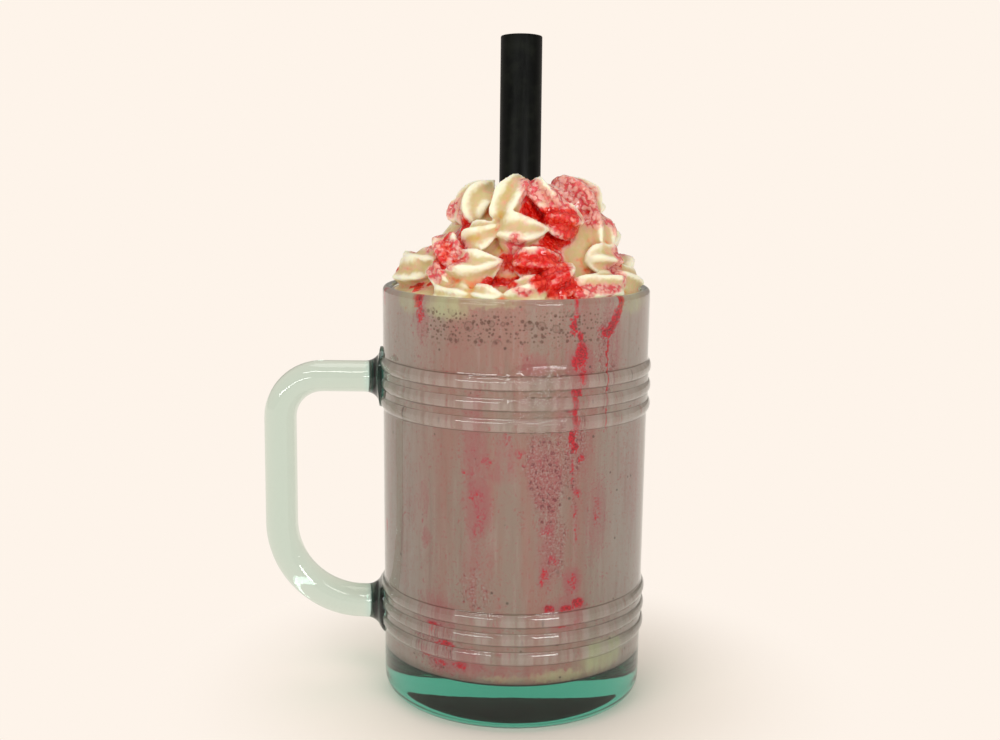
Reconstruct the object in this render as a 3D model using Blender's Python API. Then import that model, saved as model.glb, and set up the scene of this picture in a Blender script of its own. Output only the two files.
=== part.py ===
"""A milkshake in a handled glass mug, topped with piped cream and sauce, with a wide straw in it.

The mug stands on z = 0 with its axis on Z and its handle towards -X. All lengths are in metres.
"""

import math

import bmesh
import bpy
from mathutils import Matrix, Vector, noise

# Driving dimensions of the glass mug
MUG_HEIGHT = 0.125
RIM_RADIUS = 0.0398
BASE_RADIUS = 0.0392
LIP_WALL = 0.003
FLOOR_WALL = 0.0037
INNER_FLOOR = 0.013
INNER_CORNER = 0.004
BASE_CORNER = 0.006
MUG_SEGMENTS = 48

# Two groups of moulded ribs run round the mug
RIB_CENTRES = (0.0963, 0.0283)
RIBS_IN_GROUP = 3
RIB_PITCH = 0.0059
RIB_HEIGHT = 0.0010
RIB_VALLEY = 0.0003
RIB_FULLNESS = 0.8
RIB_FOOT = RIB_PITCH / 8
POINTS_IN_RIB = 4

# The handle is a D of round-cornered glass rod in the XZ plane
HANDLE_TOP_Z = 0.0969
HANDLE_BOTTOM_Z = 0.0265
HANDLE_REACH = 0.0710
HANDLE_TOP_BEND = 0.013
HANDLE_BOTTOM_BEND = 0.025
HANDLE_THICK_TOP = 0.0092
HANDLE_THICK_BOTTOM = 0.0103
HANDLE_WIDE = 0.0110
HANDLE_FLARE = 0.0045
HANDLE_SIDE_FLARE = 0.8
HANDLE_ROOT_XS = (0.0374, 0.0392, 0.0400, 0.0409, 0.0421, 0.0438)
HANDLE_CROSS_X = 0.0500
HANDLE_SIDES = 16

# Contents
GAP = 0.0003
SLIVER = 0.00004
DRINK_LEVEL = 0.1212

# The straw leans back on the Y axis and stands on the mug's inner floor
STRAW_RADIUS = 0.00615
STRAW_WALL = 0.0005
STRAW_LEAN = math.radians(5.0)
STRAW_TOP_Z = 0.1978
STRAW_X = 0.0007
STRAW_CREAM_Z = 0.157
STRAW_Y_AT_CREAM = 0.004
STRAW_SEGMENTS = 32

# The cream is a mound of short piped curls over a core that closes the middle.
# The mound's outline is (height, radius), and its upper part leans over towards +X.
MOUND = (
    (0.1200, 0.0365), (0.1260, 0.0360), (0.1300, 0.0330), (0.1340, 0.0305), (0.1380, 0.0280),
    (0.1420, 0.0255), (0.1460, 0.0230), (0.1500, 0.0205), (0.1530, 0.0175), (0.1570, 0.0110),
)
MOUND_LEAN_FROM = 0.1330
MOUND_LEAN = 0.0028
MOUND_TOP = 0.1530
CORE_BASE = 0.1165
CORE_INSET = 0.0050
CORE_TOP = 0.1530
CORE_SEGMENTS = 56
CORE_FOLD_FROM = 0.1290
CORE_FOLDS = 7
CORE_FOLD_DEPTH = 0.07
CORE_FOLD_TWIST = 130

# The rope comes from a star nozzle, so its section has rounded teeth with grooves between them
NOZZLE_TEETH = 5
TOOTH_RISE = 0.12
GROOVE_DEPTH = 0.22
CURL_STATIONS = 5
CURL_TWIST = math.radians(50)
CURL_PHASE = 0.7

# A curl starts deep in the mound, rises out of it and narrows to a tip, so its line is given by how deep
# it lies at its start, middle and end, in rope radii
CURL_SINKS = (0.9, 0.55, 0.4)
CURL_CLIMB = 0.84
CURL_LIFT = 0.3
TIP_LENGTH = 1.5
TIP_SHARPNESS = 1.6
LEAST_SWELL = 0.12

# Curls of the front: angle round the mug in degrees, height in mm, heading in degrees (0 runs round the
# mound and 90 up it), length in mm and rope radius in mm
FRONT_CURLS = (
    (214, 150.0, 120, 17, 5.8),
    (200, 147.5, 130, 11, 3.1),
    (254, 151.0, 92, 17, 5.8),
    (291, 151.0, -40, 14, 4.4),
    (340, 150.0, -60, 15, 5.8),
    (305, 145.0, 0, 15, 4.9),
    (337, 140.0, -105, 17, 5.6),
    (333, 134.0, 0, 18, 4.4),
    (242, 141.0, 40, 13, 5.3),
    (271, 142.0, 10, 17, 6.1),
    (222, 136.0, 150, 19, 5.1),
    (226, 130.0, 150, 13, 3.4),
    (246, 131.5, 25, 19, 6.9),
    (194, 128.5, 195, 21, 4.9),
    (202, 132.5, 190, 19, 3.9),
    (239, 125.0, 5, 15, 3.3),
    (256, 125.5, 5, 10, 3.1),
    (275, 126.5, 30, 16, 4.3),
    (281, 134.5, 10, 15, 4.3),
    (293, 129.5, 45, 15, 4.5),
    (315, 126.5, 5, 24, 4.9),
    (348, 127.0, -12, 22, 4.1),
)

# Rings of curls that close the sides and the back, each with its first angle, step and count
BACK_RINGS = (
    {"first": 16, "step": 30, "count": 6, "height": 128.0, "heading": 25, "length": 23, "rope": 7.2},
    {"first": 8, "step": 36, "count": 4, "height": 138.5, "heading": 30, "length": 22, "rope": 7.0},
    {"first": 20, "step": 60, "count": 3, "height": 149.0, "heading": 40, "length": 17, "rope": 6.4},
)

# No two curls of a ring are alike: noise as strong as this changes their length and rope, and moves them
# by up to this many degrees, millimetres and degrees of heading for each unit of it
BACK_UNEVEN = 0.3
UNEVEN_TURN = 20
UNEVEN_HEIGHT = 6
UNEVEN_HEADING = 120


def material(name, colour, roughness, metallic=0.0, transmission=0.0):
    """A Principled material for one sub-part."""
    made = bpy.data.materials.new(name)
    made.use_nodes = True
    shader = made.node_tree.nodes["Principled BSDF"]
    shader.inputs["Base Color"].default_value = (*colour, 1.0)
    shader.inputs["Roughness"].default_value = roughness
    shader.inputs["Metallic"].default_value = metallic
    shader.inputs["Transmission Weight"].default_value = transmission
    return made


def object_from(bm, name, made=None):
    """Turns a bmesh into a smooth-shaded object in the scene."""
    bmesh.ops.remove_doubles(bm, verts=bm.verts[:], dist=1e-6)
    bmesh.ops.recalc_face_normals(bm, faces=bm.faces[:])
    mesh = bpy.data.meshes.new(name)
    bm.to_mesh(mesh)
    bm.free()
    mesh.shade_smooth()
    mesh.set_sharp_from_angle(angle=math.radians(40))
    if made:
        mesh.materials.append(made)
    obj = bpy.data.objects.new(name, mesh)
    bpy.context.scene.collection.objects.link(obj)
    return obj


def turned(name, profile, segments, made=None):
    """A solid turned about Z from a profile of (radius, height) points that starts and ends on the axis."""
    bm = bmesh.new()
    verts = [bm.verts.new((r, 0.0, z)) for r, z in profile]
    edges = [bm.edges.new(pair) for pair in zip(verts, verts[1:])]
    bmesh.ops.spin(
        bm, geom=verts + edges, cent=(0, 0, 0), axis=(0, 0, 1),
        angle=math.tau, steps=segments, use_merge=True,
    )
    return object_from(bm, name, made)


def lofted(bm, rings):
    """Skins a closed tube over rings of points and caps its two ends."""
    loops = [[bm.verts.new(p) for p in ring] for ring in rings]
    for low, high in zip(loops, loops[1:]):
        for i in range(len(low)):
            j = (i + 1) % len(low)
            bm.faces.new((low[i], low[j], high[j], high[i]))
    bm.faces.new(loops[0])
    bm.faces.new(reversed(loops[-1]))


def arc(centre, radius, start, end, steps):
    """Points on an arc in the profile plane, its angles in degrees."""
    points = []
    for i in range(steps + 1):
        angle = math.radians(start + (end - start) * i / steps)
        points.append((centre[0] + radius * math.cos(angle), centre[1] + radius * math.sin(angle)))
    return points


def apply_modifiers(obj):
    """Keeps what the object's modifiers make as its own mesh."""
    depsgraph = bpy.context.evaluated_depsgraph_get()
    mesh = bpy.data.meshes.new_from_object(obj.evaluated_get(depsgraph))
    obj.modifiers.clear()
    obj.data = mesh


def boolean(obj, operation, other, solver="EXACT"):
    """Joins or cuts obj by another object or by a collection of objects, which is then removed."""
    modifier = obj.modifiers.new(operation.lower(), "BOOLEAN")
    modifier.operation = operation
    modifier.solver = solver
    if isinstance(other, bpy.types.Collection):
        modifier.operand_type = "COLLECTION"
        modifier.collection = other
        members = list(other.objects)
    else:
        modifier.object = other
        members = [other]
    apply_modifiers(obj)
    for member in members:
        bpy.data.objects.remove(member)


def keep_main_shell(obj):
    """Drops the loose scraps and sealed hollows that fusing leaves: only the largest shell stays."""
    bm = bmesh.new()
    bm.from_mesh(obj.data)
    bmesh.ops.remove_doubles(bm, verts=bm.verts[:], dist=SLIVER)
    bmesh.ops.dissolve_degenerate(bm, edges=bm.edges[:], dist=SLIVER)
    bmesh.ops.triangulate(bm, faces=bm.faces[:])
    seen, largest = set(), set()
    for first in bm.faces:
        if first in seen:
            continue
        shell, to_visit = {first}, [first]
        while to_visit:
            for edge in to_visit.pop().edges:
                if len(edge.link_faces) != 2:
                    continue
                for near in edge.link_faces:
                    if near not in shell:
                        shell.add(near)
                        to_visit.append(near)
        seen |= shell
        largest = max(largest, shell, key=len)
    bmesh.ops.delete(bm, geom=[face for face in bm.faces if face not in largest], context="FACES")
    bmesh.ops.holes_fill(bm, edges=bm.edges[:], sides=0)
    bmesh.ops.triangulate(bm, faces=bm.faces[:])
    bm.to_mesh(obj.data)
    bm.free()


def outer_radius(z):
    """The mug's outside without its ribs: a cylinder that narrows slightly to the base."""
    return BASE_RADIUS + (RIM_RADIUS - BASE_RADIUS) * z / MUG_HEIGHT


def inner_radius(z):
    """The mug's inside: the wall thickens slightly towards the floor."""
    wall = FLOOR_WALL + (LIP_WALL - FLOOR_WALL) * z / MUG_HEIGHT
    return outer_radius(z) - wall


def rib_profile(centre):
    """Points over one group of ribs, from the lowest rib to the highest."""
    points = []
    low = centre - RIBS_IN_GROUP * RIB_PITCH / 2
    steps = RIBS_IN_GROUP * POINTS_IN_RIB
    points.append((outer_radius(low), low - RIB_FOOT))
    for i in range(steps + 1):
        z = low + i * RIB_PITCH / POINTS_IN_RIB
        bulge = abs(math.sin(math.pi * i / POINTS_IN_RIB)) ** RIB_FULLNESS
        lift = RIB_VALLEY + (RIB_HEIGHT - RIB_VALLEY) * bulge
        points.append((outer_radius(z) + lift, z))
    high = low + RIBS_IN_GROUP * RIB_PITCH
    points.append((outer_radius(high), high + RIB_FOOT))
    return points


def handle_path():
    """Centre points of the handle's rod, from its top root to its bottom root, in the XZ plane."""
    top_bend = (HANDLE_REACH - HANDLE_TOP_BEND, HANDLE_TOP_Z - HANDLE_TOP_BEND)
    bottom_bend = (HANDLE_REACH - HANDLE_BOTTOM_BEND, HANDLE_BOTTOM_Z + HANDLE_BOTTOM_BEND)
    points = [(x, HANDLE_TOP_Z) for x in (*HANDLE_ROOT_XS, HANDLE_CROSS_X)]
    points += arc(top_bend, HANDLE_TOP_BEND, 90, 0, 7)
    points += arc(bottom_bend, HANDLE_BOTTOM_BEND, 0, -84, 9)
    points += [(x, HANDLE_BOTTOM_Z) for x in reversed(HANDLE_ROOT_XS)]
    return points


def handle_rings():
    """Oval sections across the handle's path, flared where the rod melts into the wall."""
    path = [Vector((-x, 0.0, z)) for x, z in handle_path()]
    rings = []
    for i, point in enumerate(path):
        along = (path[min(i + 1, len(path) - 1)] - path[max(i - 1, 0)]).normalized()
        side = Vector((0, 1, 0))
        up = side.cross(along)
        off_wall = max(-point.x - outer_radius(point.z), 0.0)
        flare = 0.0
        if off_wall < HANDLE_FLARE:
            flare = HANDLE_FLARE - math.sqrt(HANDLE_FLARE**2 - (HANDLE_FLARE - off_wall) ** 2)
        thick = HANDLE_THICK_TOP + (HANDLE_THICK_BOTTOM - HANDLE_THICK_TOP) * i / (len(path) - 1)
        ring = []
        for k in range(HANDLE_SIDES):
            angle = math.tau * k / HANDLE_SIDES
            ring.append(
                point
                + up * (thick / 2 + flare) * math.cos(angle)
                + side * (HANDLE_WIDE / 2 + flare * HANDLE_SIDE_FLARE) * math.sin(angle)
            )
        rings.append(ring)
    return rings


def make_mug():
    """Green-tinted pressed glass: body, ribs, thick base and handle are one piece."""
    lip_radius = LIP_WALL / 2
    lip_centre = (RIM_RADIUS - lip_radius, MUG_HEIGHT - lip_radius)
    corner_centre = (BASE_RADIUS - BASE_CORNER, BASE_CORNER)
    inner_corner = (inner_radius(INNER_FLOOR) - INNER_CORNER, INNER_FLOOR + INNER_CORNER)
    profile = [(0.0, 0.0), *arc(corner_centre, BASE_CORNER, -90, 0, 5)]
    for centre in reversed(RIB_CENTRES):
        profile += rib_profile(centre)
    profile += arc(lip_centre, lip_radius, 0, 180, 6)
    profile += reversed(arc(inner_corner, INNER_CORNER, -90, 0, 3))
    profile.append((0.0, INNER_FLOOR))
    glass = material("green_glass", (0.80, 0.92, 0.87), 0.03, transmission=1.0)
    mug = turned("mug", profile, MUG_SEGMENTS, glass)
    bm = bmesh.new()
    lofted(bm, handle_rings())
    boolean(mug, "UNION", object_from(bm, "handle_rod", glass))
    return mug


def straw_frame():
    """Matrix that stands the straw, modelled up Z from its lower end, in its place in the mug."""
    foot_z = INNER_FLOOR + GAP + STRAW_RADIUS * math.sin(STRAW_LEAN)
    foot_y = STRAW_Y_AT_CREAM - (STRAW_CREAM_Z - foot_z) * math.tan(STRAW_LEAN)
    return Matrix.Translation((STRAW_X, foot_y, foot_z)) @ Matrix.Rotation(-STRAW_LEAN, 4, "X")


def straw_length():
    """Length of the straw from its lower end to its top."""
    return (STRAW_TOP_Z - straw_frame().translation.z) / math.cos(STRAW_LEAN)


def make_straw():
    """A wide black drinking straw, open at both ends."""
    length = straw_length()
    bm = bmesh.new()
    corners = [
        bm.verts.new((r, 0.0, z))
        for r, z in (
            (STRAW_RADIUS, 0.0), (STRAW_RADIUS, length),
            (STRAW_RADIUS - STRAW_WALL, length), (STRAW_RADIUS - STRAW_WALL, 0.0),
        )
    ]
    edges = [bm.edges.new((corners[i], corners[(i + 1) % 4])) for i in range(4)]
    bmesh.ops.spin(
        bm, geom=corners + edges, cent=(0, 0, 0), axis=(0, 0, 1),
        angle=math.tau, steps=STRAW_SEGMENTS, use_merge=True,
    )
    straw = object_from(bm, "straw", material("black_plastic", (0.012, 0.013, 0.013), 0.35))
    straw.matrix_world = straw_frame()
    return straw


def straw_cutter():
    """A rod that leaves the usual gap round the straw and runs past both its ends."""
    spare = 0.03
    bm = bmesh.new()
    bmesh.ops.create_cone(
        bm, cap_ends=True, segments=STRAW_SEGMENTS,
        radius1=STRAW_RADIUS + GAP, radius2=STRAW_RADIUS + GAP, depth=straw_length() + 2 * spare,
    )
    cutter = object_from(bm, "straw_cutter")
    cutter.matrix_world = straw_frame() @ Matrix.Translation((0, 0, straw_length() / 2))
    return cutter


def make_drink():
    """The milkshake fills the mug to its level, cut round the straw."""
    floor = INNER_FLOOR + GAP
    corner = (inner_radius(floor) - GAP - INNER_CORNER, floor + INNER_CORNER)
    profile = [(0.0, floor)]
    profile += arc(corner, INNER_CORNER, -90, 0, 3)
    profile.append((inner_radius(DRINK_LEVEL) - GAP, DRINK_LEVEL))
    profile.append((0.0, DRINK_LEVEL))
    drink = turned("milkshake", profile, MUG_SEGMENTS, material("milkshake", (0.42, 0.26, 0.22), 0.45))
    boolean(drink, "DIFFERENCE", straw_cutter())
    return drink


def mound_radius(z):
    """Radius of the mound at a height, read between the points of its outline."""
    for (low, low_radius), (high, high_radius) in zip(MOUND, MOUND[1:]):
        if z <= high:
            part_way = max(z - low, 0.0) / (high - low)
            return low_radius + (high_radius - low_radius) * part_way
    return MOUND[-1][1]


def mound_middle(z):
    """How far the mound's middle leans towards +X at a height."""
    return MOUND_LEAN * min(max((z - MOUND_LEAN_FROM) / (MOUND_TOP - MOUND_LEAN_FROM), 0.0), 1.0)


def mound_point(angle, z, sink):
    """A point this deep under the mound's surface, at an angle in radians and a height."""
    reach = mound_radius(z) - sink
    return Vector((mound_middle(z) + reach * math.cos(angle), reach * math.sin(angle), z))


def curl_line(angle, height, heading, length, rope):
    """Start, middle and end of a curl: it rises out of the mound, arches over it and ends in a tip."""
    points = []
    for step, sink in zip((-1, 0, 1), CURL_SINKS):
        along = step * length / 2
        z = height + along * math.sin(heading) * CURL_CLIMB
        turn = along * math.cos(heading) / mound_radius(height)
        points.append(mound_point(angle + turn, z, sink * rope))
    return points


def through(points, t):
    """A point on the smooth curve through three points, with t from 0 to 1."""
    first, middle, last = points
    pull = 2 * middle - (first + last) / 2
    return first * (1 - t) ** 2 + pull * 2 * t * (1 - t) + last * t**2


def curl_rings(points, rope, phase):
    """Star-shaped sections along one curl: round where it starts, pointed where it ends."""
    length = sum((points[i + 1] - points[i]).length for i in range(2))
    rings = []
    for i in range(CURL_STATIONS + 1):
        t = i / CURL_STATIONS
        centre = through(points, t)
        along = (through(points, min(t + 0.02, 1)) - through(points, max(t - 0.02, 0))).normalized()
        outward = Vector((centre.x, centre.y, CURL_LIFT * centre.xy.length)).normalized()
        side = along.cross(outward).normalized()
        up = side.cross(along)
        start = 1 - min(t * length / rope, 1.0)
        end = 1 - min((1 - t) * length / (TIP_LENGTH * rope), 1.0)
        swell = max(math.sqrt(1 - start**2) * (1 - end**TIP_SHARPNESS), LEAST_SWELL)
        ring = []
        for k in range(2 * NOZZLE_TEETH):
            around = math.pi * k / NOZZLE_TEETH + phase + CURL_TWIST * t
            tooth = -GROOVE_DEPTH if k % 2 else TOOTH_RISE
            radius = rope * swell * (1 + tooth)
            ring.append(centre + radius * (up * math.cos(around) + side * math.sin(around)))
        rings.append(ring)
    return rings


def cream_curls():
    """Angle, height, heading, length and rope radius of every curl, in radians and metres."""
    curls = list(FRONT_CURLS)
    for ring in BACK_RINGS:
        for i in range(ring["count"]):
            angle = ring["first"] + i * ring["step"]
            uneven = BACK_UNEVEN * noise.noise(Vector((angle * 0.11, ring["height"], 0.4)))
            curls.append((
                angle + UNEVEN_TURN * uneven, ring["height"] + UNEVEN_HEIGHT * uneven,
                ring["heading"] + UNEVEN_HEADING * uneven,
                ring["length"] * (1 - uneven), ring["rope"] * (1 + uneven),
            ))
    return [
        (math.radians(angle), height / 1000, math.radians(heading), length / 1000, rope / 1000)
        for angle, height, heading, length, rope in curls
    ]


def cream_clip():
    """What the cream may fill: the mug above the drink, round its lip, and the air above."""
    lip_radius = LIP_WALL / 2
    lip_centre = (RIM_RADIUS - lip_radius, MUG_HEIGHT - lip_radius)
    low, high, wide = DRINK_LEVEL + GAP, 0.17, 0.05
    profile = [(0.0, low), (inner_radius(low) - GAP, low)]
    profile += arc(lip_centre, lip_radius + GAP, 180, 90, 4)
    profile += [(wide, MUG_HEIGHT + GAP), (wide, high), (0.0, high)]
    return turned("cream_clip", profile, MUG_SEGMENTS)


def fold_core(mesh):
    """Soft folds wind up the core, which leans with the mound. They show where no curl covers it."""
    for vert in mesh.vertices:
        if vert.co.z > CORE_FOLD_FROM:
            angle = math.atan2(vert.co.y, vert.co.x)
            swell = 1 + CORE_FOLD_DEPTH * math.sin(CORE_FOLDS * angle + CORE_FOLD_TWIST * vert.co.z)
            vert.co.x = vert.co.x * swell + mound_middle(vert.co.z)
            vert.co.y *= swell


def make_cream():
    """Whipped cream: the piped curls fused over a core that closes the middle."""
    core = [(0.0, CORE_BASE), (RIM_RADIUS, CORE_BASE)]
    core += [(radius - CORE_INSET, z) for z, radius in MOUND[1:-1]]
    core.append((0.0, CORE_TOP))
    cream = turned("whipped_cream", core, CORE_SEGMENTS, material("cream", (0.86, 0.78, 0.58), 0.4))
    fold_core(cream.data)
    curls = bpy.data.collections.new("curls")
    bpy.context.scene.collection.children.link(curls)
    for number, (*place, rope) in enumerate(cream_curls()):
        bm = bmesh.new()
        lofted(bm, curl_rings(curl_line(*place, rope), rope, number * CURL_PHASE))
        curl = object_from(bm, f"curl_{number}")
        bpy.context.scene.collection.objects.unlink(curl)
        curls.objects.link(curl)
    boolean(cream, "UNION", curls, "MANIFOLD")
    bpy.data.collections.remove(curls)
    boolean(cream, "INTERSECT", cream_clip(), "MANIFOLD")
    boolean(cream, "DIFFERENCE", straw_cutter(), "MANIFOLD")
    keep_main_shell(cream)
    return cream


for old in list(bpy.data.objects):
    bpy.data.objects.remove(old)
make_mug()
make_straw()
make_drink()
make_cream()
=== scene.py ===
import math

import bmesh
import bpy
import numpy as np
from mathutils import Matrix, Vector, noise


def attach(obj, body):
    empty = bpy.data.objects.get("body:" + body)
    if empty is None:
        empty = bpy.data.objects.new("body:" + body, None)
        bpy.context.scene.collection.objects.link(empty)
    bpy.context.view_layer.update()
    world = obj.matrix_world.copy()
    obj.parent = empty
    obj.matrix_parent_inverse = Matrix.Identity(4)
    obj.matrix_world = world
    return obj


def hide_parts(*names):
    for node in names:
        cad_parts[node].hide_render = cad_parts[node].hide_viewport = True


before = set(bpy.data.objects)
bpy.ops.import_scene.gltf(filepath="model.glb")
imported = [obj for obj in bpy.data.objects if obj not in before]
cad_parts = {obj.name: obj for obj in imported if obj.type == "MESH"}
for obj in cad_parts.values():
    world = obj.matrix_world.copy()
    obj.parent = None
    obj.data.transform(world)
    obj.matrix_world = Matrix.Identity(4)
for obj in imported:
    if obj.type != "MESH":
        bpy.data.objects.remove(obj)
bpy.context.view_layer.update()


# The set. A pale floor that fades into a backdrop of the same colour, two soft lamps low on either side
# ahead of the mug, three wide ones over it, and a camera in front, a little above and looking down.

def screen(red, green, blue):
    """A colour as it shows on a screen, 0 to 255 a channel, in Blender's linear values."""
    shares = [value / 255 for value in (red, green, blue)]
    linear = [s / 12.92 if s <= 0.04045 else ((s + 0.055) / 1.055) ** 2.4 for s in shares]
    return (*linear, 1.0)


def add(tree, kind, inputs=None, **settings):
    """A new node with these settings. Its inputs take plain values or the sockets that feed them."""
    node = tree.nodes.new(kind)
    for name, value in settings.items():
        setattr(node, name, value)
    for name, value in (inputs or {}).items():
        if isinstance(value, bpy.types.NodeSocket):
            tree.links.new(value, node.inputs[name])
        else:
            node.inputs[name].default_value = value
    return node


def calc(tree, operation, *values):
    """A Math node's result."""
    return add(tree, "ShaderNodeMath", dict(enumerate(values)), operation=operation).outputs[0]


def ease(tree, value, low, high, least=0.0, most=1.0):
    """Rises softly from least to most as value goes from low to high."""
    inputs = {"Value": value, "From Min": low, "From Max": high, "To Min": least, "To Max": most}
    return add(tree, "ShaderNodeMapRange", inputs, interpolation_type="SMOOTHSTEP").outputs["Result"]


def tint(tree, share, first, second, how="MIX"):
    """A colour between first and second, by a share that comes from nodes."""
    node = add(tree, "ShaderNodeMix", {0: share, 6: first, 7: second}, data_type="RGBA", blend_type=how)
    return node.outputs[2]


def new_material(name):
    """A material with its node tree and its Principled shader."""
    made = bpy.data.materials.new(name)
    made.use_nodes = True
    return made, made.node_tree, made.node_tree.nodes["Principled BSDF"]


def settle(bm, name, material, sharp=None):
    """Turns a bmesh into a smooth object whose edges past the sharp angle, in degrees, stay crisp."""
    bmesh.ops.remove_doubles(bm, verts=bm.verts[:], dist=1e-6)
    bmesh.ops.recalc_face_normals(bm, faces=bm.faces[:])
    mesh = bpy.data.meshes.new(name)
    bm.to_mesh(mesh)
    bm.free()
    mesh.shade_smooth()
    if sharp:
        mesh.set_sharp_from_angle(angle=math.radians(sharp))
    if material:
        mesh.materials.append(material)
    made = bpy.data.objects.new(name, mesh)
    bpy.context.scene.collection.objects.link(made)
    return made


PAPER = screen(254, 244, 234)
AMBIENT = 0.42
FLOOR_DROP = 0.0004
FLOOR_SIZE = 8.0
FLOOR_TONE = (1.0, 0.93, 0.84, 1.0)
FADE_FROM, FADE_TO = 0.034, 0.110

CAMERA_PLACE = (-0.0046, -0.413, 0.1683)
CAMERA_PITCH = math.radians(9.5)
CAMERA_ROLL = math.radians(0.63)

LAMP_DISTANCE = 0.9
LAMPS = (
    {"name": "lamp_left", "turn": -33, "rise": 12, "size": (0.52, 0.08), "power": 1.7},
    {"name": "lamp_right", "turn": 27, "rise": 12, "size": (0.34, 0.10), "power": 2.2},
    {"name": "lamp_over_left", "turn": -31, "rise": 50, "size": (0.42, 0.10), "power": 1.3},
    {"name": "lamp_over_right", "turn": 26, "rise": 50, "size": (0.42, 0.10), "power": 1.1},
    {"name": "lamp_top", "turn": 200, "rise": 74, "size": (0.50, 0.50), "power": 1.5},
)

scene = bpy.context.scene
scene.view_settings.view_transform = "Standard"

world = bpy.data.worlds.new("studio")
scene.world = world
world.use_nodes = True
sky = world.node_tree
path = add(sky, "ShaderNodeLightPath")
seen = calc(sky, "MAXIMUM", path.outputs["Is Camera Ray"], path.outputs["Is Transmission Ray"])
level = add(sky, "ShaderNodeMapRange", {"Value": seen, "To Min": AMBIENT, "To Max": 1.0})
backdrop = sky.nodes["Background"]
backdrop.inputs["Color"].default_value = PAPER
sky.links.new(level.outputs["Result"], backdrop.inputs["Strength"])

paper, tree, shader = new_material("paper")
shader.inputs["Base Color"].default_value = FLOOR_TONE
shader.inputs["Roughness"].default_value = 1.0
shader.inputs["Specular IOR Level"].default_value = 0.0
place = add(tree, "ShaderNodeTexCoord").outputs["Object"]
reach = add(tree, "ShaderNodeVectorMath", {0: place}, operation="LENGTH").outputs["Value"]
glow = add(tree, "ShaderNodeEmission", {"Color": PAPER})
faded = add(
    tree, "ShaderNodeMixShader",
    {0: ease(tree, reach, FADE_FROM, FADE_TO), 1: shader.outputs[0], 2: glow.outputs[0]},
)
tree.links.new(faded.outputs[0], tree.nodes["Material Output"].inputs["Surface"])
bm = bmesh.new()
bmesh.ops.create_grid(bm, x_segments=1, y_segments=1, size=FLOOR_SIZE / 2)
bmesh.ops.translate(bm, verts=bm.verts[:], vec=(0.0, 0.0, -FLOOR_DROP))
floor = settle(bm, "floor", paper)

for lamp in LAMPS:
    light = bpy.data.lights.new(lamp["name"], "AREA")
    light.shape = "RECTANGLE"
    light.size, light.size_y = lamp["size"]
    light.energy = lamp["power"]
    turn, rise = math.radians(lamp["turn"]), math.radians(lamp["rise"])
    away = Vector((math.sin(turn) * math.cos(rise), -math.cos(turn) * math.cos(rise), math.sin(rise)))
    holder = bpy.data.objects.new(lamp["name"], light)
    holder.location = Vector((0.0, 0.0, 0.08)) + away * LAMP_DISTANCE
    holder.rotation_euler = away.to_track_quat("Z", "Y").to_euler()
    scene.collection.objects.link(holder)

camera_data = bpy.data.cameras.new("camera")
camera_data.lens = 50
camera_data.sensor_width = 36
camera = bpy.data.objects.new("camera", camera_data)
camera.matrix_world = (
    Matrix.Translation(CAMERA_PLACE)
    @ Matrix.Rotation(math.radians(90) - CAMERA_PITCH, 4, "X")
    @ Matrix.Rotation(CAMERA_ROLL, 4, "Z")
)
scene.collection.objects.link(camera)
scene.camera = camera


# The mug is one piece of pressed glass with a faint green tint that shows where it is thick, as in the
# base and at the handle's roots. The body is a turned profile with two groups of moulded ribs, a rounded
# lip and a thick base, pushed up a little underneath. The handle is a rod that melts into the wall.

MUG_HEIGHT = 0.125
RIM_RADIUS = 0.0398
BASE_RADIUS = 0.0392
LIP_WALL = 0.003
FLOOR_WALL = 0.0037
INNER_FLOOR = 0.013
INNER_CORNER = 0.004
BASE_CORNER = 0.006
MUG_SEGMENTS = 160
RIB_GROUPS = ({"top": 0.1037, "pitch": 0.0057}, {"top": 0.0357, "pitch": 0.0054})
RIBS_IN_GROUP = 3
RIB_WIDE = 0.0035
RIB_HEIGHT = 0.0010
RIB_VALLEY = 0.0003
RIB_FULLNESS = 0.7
RIB_FEET = (0.0005, 0.0012)
POINTS_IN_RIB = 12
SMOOTH_EDGE = 0.0008
PUNT_RADIUS = 0.031
PUNT_RISE = 0.0022
PUNT_STEPS = 10
HANDLE_TOP_Z = 0.0969
HANDLE_BOTTOM_Z = 0.0265
HANDLE_REACH = 0.0710
HANDLE_TOP_BEND = 0.013
HANDLE_BOTTOM_BEND = 0.025
HANDLE_THICK_TOP = 0.0092
HANDLE_THICK_BOTTOM = 0.0103
HANDLE_WIDE = 0.0110
HANDLE_FLARE = 0.0045
HANDLE_SIDE_FLARE = 0.8
HANDLE_ROOT_XS = (0.0374, 0.0394, 0.0406, 0.0408, 0.0411, 0.0415, 0.0421, 0.0430, 0.0440, 0.0452)
HANDLE_CROSS_X = 0.0500
HANDLE_SIDES = 32
TINT_COLOUR = (0.0, 0.679, 0.574, 1.0)
TINT_DENSITY = 38.0
GLASS_CLEAR = (0.87, 0.87, 0.84, 1.0)
# Painted shade: the glass's colour at its edges, where it is seen at a slant
GLASS_EDGE_SHADE = (0.52, 0.58, 0.52, 1.0)
GLASS_HANDLE = (0.944, 0.845, 0.798, 1.0)
# Painted shade: the near-black colour of the glass at the handle's roots
GLASS_ROOT_SHADE = (0.004, 0.03, 0.022, 1.0)
ROOT_MIDDLES = ((-0.0411, 0.0, 0.0972), (-0.0410, 0.0, 0.0268))
ROOT_REACH = (0.0022, 0.0080)
GLASS_SHADOW = (0.86, 0.93, 0.90, 1.0)

# The glass is wrinkled over the upper ribs, between these turns from the front, in radians, and heights.
# Each pair runs from where there are no wrinkles to where they are full
WRINKLED_TURNS = ((-0.15, 0.1), (0.5, 0.3))
WRINKLED_HEIGHTS = ((0.084, 0.090), (0.108, 0.104))


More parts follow.
